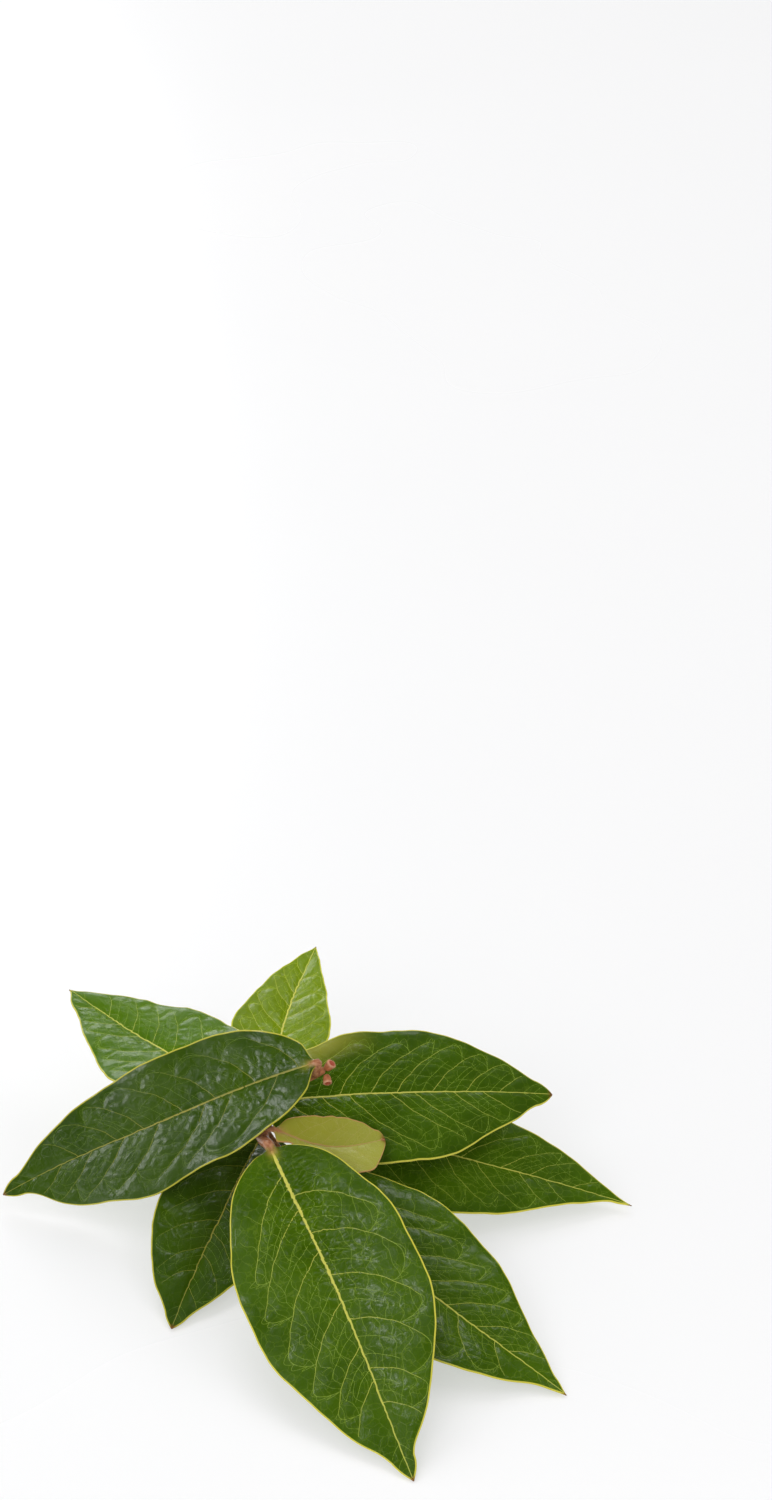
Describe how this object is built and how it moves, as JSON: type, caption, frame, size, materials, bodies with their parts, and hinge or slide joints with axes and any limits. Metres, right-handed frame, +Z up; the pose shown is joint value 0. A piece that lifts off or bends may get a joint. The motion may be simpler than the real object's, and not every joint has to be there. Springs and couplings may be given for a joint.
{
  "type": "bay laurel leaf sprig",
  "caption": "Cut sprig of bay laurel lying on a surface: pointed leathery leaves spread round a short woody twig, with a small folded young leaf and reddish tip buds.",
  "frame": {"origin": "on the surface the sprig lies on, below the centre of its bounding box", "axes": "+Z up from the surface; +Y along the longest side, from the drooping front tips to the back; +X to the right as seen from the front"},
  "size_m": [0.1277, 0.1395, 0.0408],
  "materials": {
    "twig_bark": "young red-brown bark, satin",
    "leaf_green": "leathery leaf, satin gloss above, matt beneath",
    "leaf_dark": "leathery leaf, glossy above, matt beneath",
    "leaf_light": "leathery leaf, satin gloss above, matt beneath",
    "leaf_bright": "younger yellow-green leaf, satin",
    "young_olive": "young olive leaf with a brownish rim, matt",
    "bud_red": "salmon red bud scales, satin"
  },
  "bodies": {
    "root": {"twig": "twig_bark", "leaf_front": "leaf_green", "leaf_front_right": "leaf_green", "leaf_front_left": "leaf_dark", "leaf_right_low": "leaf_green", "leaf_right_top": "leaf_green", "leaf_top_left": "leaf_dark", "leaf_back_left": "leaf_light", "leaf_back": "leaf_bright", "young_leaf": "young_olive", "tip_bud": "bud_red", "side_bud": "bud_red"}
  },
  "joints": []
}
